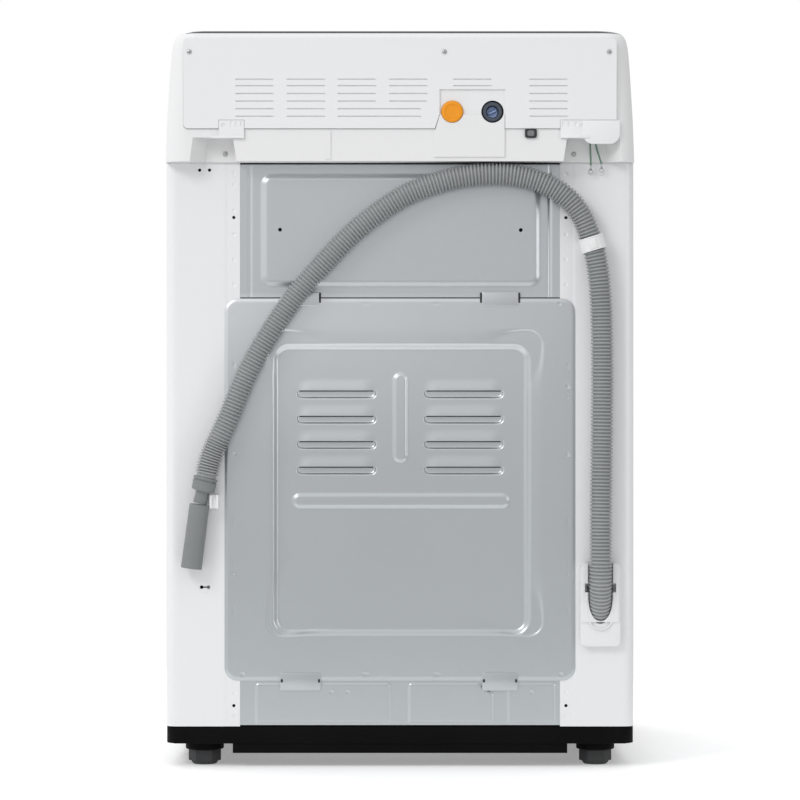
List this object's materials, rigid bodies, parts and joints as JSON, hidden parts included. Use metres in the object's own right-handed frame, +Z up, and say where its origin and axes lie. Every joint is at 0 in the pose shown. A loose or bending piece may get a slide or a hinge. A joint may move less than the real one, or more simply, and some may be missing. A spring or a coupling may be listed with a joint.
{
  "type": "top load washing machine",
  "caption": "Top-loading clothes washer: steel cabinet with sprung tub, spinning drum and pulsator, hinged glass lid, sloping control console, rear service cover and drain hose.",
  "frame": {"origin": "on the floor under the middle of the machine's box, the cords left out", "axes": "+Z up, -Y out of the front where the user stands, +Y out of the back, +X to the user's right"},
  "size_m": [0.632, 0.67, 0.991],
  "materials": {
    "cabinet_paint": "smooth semi-gloss white enamel on steel sheet",
    "cover_plastic": "white moulded plastic, fine satin",
    "panel_gloss": "black high-gloss moulding",
    "zinc_steel": "bare galvanised sheet, semi-matte with faint spangle",
    "base_plastic": "black textured polypropylene",
    "foot_rubber": "dark grey rubber",
    "hose_plastic": "grey corrugated polyethylene",
    "cap_orange": "orange polyethylene cap",
    "strainer_blue": "blue moulded plastic",
    "valve_plastic": "dark grey glass-filled plastic",
    "drum_steel": "polished stainless sheet",
    "knob_chrome": "satin chrome",
    "spring_steel": "zinc-plated steel",
    "tub_plastic": "off-white filled polypropylene",
    "ring_plastic": "pale grey plastic, salt-water filled",
    "drive_aluminium": "die-cast aluminium",
    "stator_iron": "steel laminations with copper windings",
    "lead_green": "green insulated wire",
    "terminal_tin": "tinned ring terminal",
    "lid_glass": "dark tinted toughened glass",
    "lid_plastic": "black moulded lid frame",
    "strap_plastic": "white nylon",
    "pulsator_plastic": "pale moulded plastic",
    "gland_rubber": "dark moulded gland"
  },
  "bodies": {
    "root": {"cabinet": "cabinet_paint", "base_tray": "base_plastic", "upper_rear_panel": "zinc_steel", "lower_rear_panel": "zinc_steel", "rear_cover": "zinc_steel", "top_cover": "cover_plastic", "control_panel": "panel_gloss", "console_back_panel": "cover_plastic", "cord_bracket_left": "cover_plastic", "cord_bracket_right": "cover_plastic", "power_cord_gland": "gland_rubber", "inlet_valve": "valve_plastic", "main_board": "valve_plastic", "dispenser_box": "cover_plastic", "lid_lock": "valve_plastic", "suspension_rod_front_left": "spring_steel", "suspension_spring_front_left": "spring_steel", "suspension_rod_front_right": "spring_steel", "suspension_spring_front_right": "spring_steel", "suspension_rod_rear_left": "spring_steel", "suspension_spring_rear_left": "spring_steel", "suspension_rod_rear_right": "spring_steel", "suspension_spring_rear_right": "spring_steel", "drain_hose": "hose_plastic", "drain_hose_cuff": "hose_plastic", "drain_hose_nozzle": "hose_plastic", "drain_outlet_cover": "cover_plastic", "hose_strap": "strap_plastic", "hose_end_clip": "strap_plastic", "earth_lead_1": "lead_green", "earth_terminal_1": "terminal_tin", "earth_lead_2": "lead_green", "earth_terminal_2": "terminal_tin"},
    "lid": {"lid_frame": "lid_plastic", "lid_glass": "lid_glass", "lid_hinge_pin_left": "knob_chrome", "lid_hinge_pin_right": "knob_chrome"},
    "drawer": {"detergent_drawer": "cover_plastic"},
    "knob": {"selector_knob": "knob_chrome"},
    "power_button": {"power_button": "cover_plastic"},
    "start_button": {"start_button": "cover_plastic"},
    "option_button_1": {"option_button_1": "cover_plastic"},
    "option_button_2": {"option_button_2": "cover_plastic"},
    "hot_cap": {"hot_inlet_cap": "cap_orange"},
    "strainer": {"cold_inlet_strainer": "strainer_blue"},
    "tub": {"outer_tub": "tub_plastic", "tub_cover_ring": "tub_plastic", "bearing_housing": "drive_aluminium", "motor_stator": "stator_iron", "drain_pump": "valve_plastic"},
    "drum": {"drum": "drum_steel", "balance_ring": "ring_plastic", "drum_base": "drive_aluminium"},
    "filter": {"lint_filter": "valve_plastic"},
    "pulsator": {"pulsator": "pulsator_plastic", "motor_rotor": "spring_steel"},
    "foot_front_left": {"foot_front_left": "foot_rubber"},
    "foot_front_right": {"foot_front_right": "foot_rubber"},
    "foot_rear_left": {"foot_rear_left": "foot_rubber"},
    "foot_rear_right": {"foot_rear_right": "foot_rubber"}
  },
  "joints": [
    {"name": "lid_hinge", "type": "hinge", "parent": "root", "child": "lid", "pos_m": [0, 0.122, 0.9265], "axis": [-1, 0, 0], "range_deg": [0, 100]},
    {"name": "drawer_slide", "type": "slide", "parent": "root", "child": "drawer", "axis": [0, -1, 0], "range_m": [0, 0.12]},
    {"name": "knob_turn", "type": "hinge", "parent": "root", "child": "knob", "pos_m": [0.07, 0.21969, 0.96259], "axis": [0, -0.309, 0.9511], "continuous": true},
    {"name": "power_button_press", "type": "slide", "parent": "root", "child": "power_button", "axis": [0, 0.309, -0.9511], "range_m": [0, 0.0015], "stiffness_N_per_m": 600, "springref_m": -0.0006},
    {"name": "start_button_press", "type": "slide", "parent": "root", "child": "start_button", "axis": [0, 0.309, -0.9511], "range_m": [0, 0.0015], "stiffness_N_per_m": 600, "springref_m": -0.0006},
    {"name": "option_button_1_press", "type": "slide", "parent": "root", "child": "option_button_1", "axis": [0, 0.309, -0.9511], "range_m": [0, 0.0015], "stiffness_N_per_m": 600, "springref_m": -0.0006},
    {"name": "option_button_2_press", "type": "slide", "parent": "root", "child": "option_button_2", "axis": [0, 0.309, -0.9511], "range_m": [0, 0.0015], "stiffness_N_per_m": 600, "springref_m": -0.0006},
    {"name": "hot_cap_pull", "type": "slide", "parent": "root", "child": "hot_cap", "axis": [0, 1, 0], "range_m": [0, 0.03]},
    {"name": "strainer_pull", "type": "slide", "parent": "root", "child": "strainer", "axis": [0, 1, 0], "range_m": [0, 0.02]},
    {"name": "tub_bounce", "type": "slide", "parent": "root", "child": "tub", "axis": [0, 0, 1], "range_m": [-0.025, 0.012], "stiffness_N_per_m": 9000, "springref_m": 0.03401, "deforming": ["suspension_spring_front_left", "suspension_spring_front_right", "suspension_spring_rear_left", "suspension_spring_rear_right"]},
    {"name": "drum_spin", "type": "hinge", "parent": "tub", "child": "drum", "pos_m": [0, -0.018, 0.5], "axis": [0, 0, 1], "continuous": true},
    {"name": "pulsator_spin", "type": "hinge", "parent": "tub", "child": "pulsator", "pos_m": [0, -0.018, 0.3], "axis": [0, 0, 1], "continuous": true},
    {"name": "filter_pull", "type": "slide", "parent": "drum", "child": "filter", "axis": [-1, 0, 0], "range_m": [0, 0.04]},
    {"name": "foot_front_left_adjust", "type": "slide", "parent": "root", "child": "foot_front_left", "axis": [0, 0, -1], "range_m": [0, 0.012]},
    {"name": "foot_front_right_adjust", "type": "slide", "parent": "root", "child": "foot_front_right", "axis": [0, 0, -1], "range_m": [0, 0.012]},
    {"name": "foot_rear_left_adjust", "type": "slide", "parent": "root", "child": "foot_rear_left", "axis": [0, 0, -1], "range_m": [0, 0.012]},
    {"name": "foot_rear_right_adjust", "type": "slide", "parent": "root", "child": "foot_rear_right", "axis": [0, 0, -1], "range_m": [0, 0.012]}
  ]
}
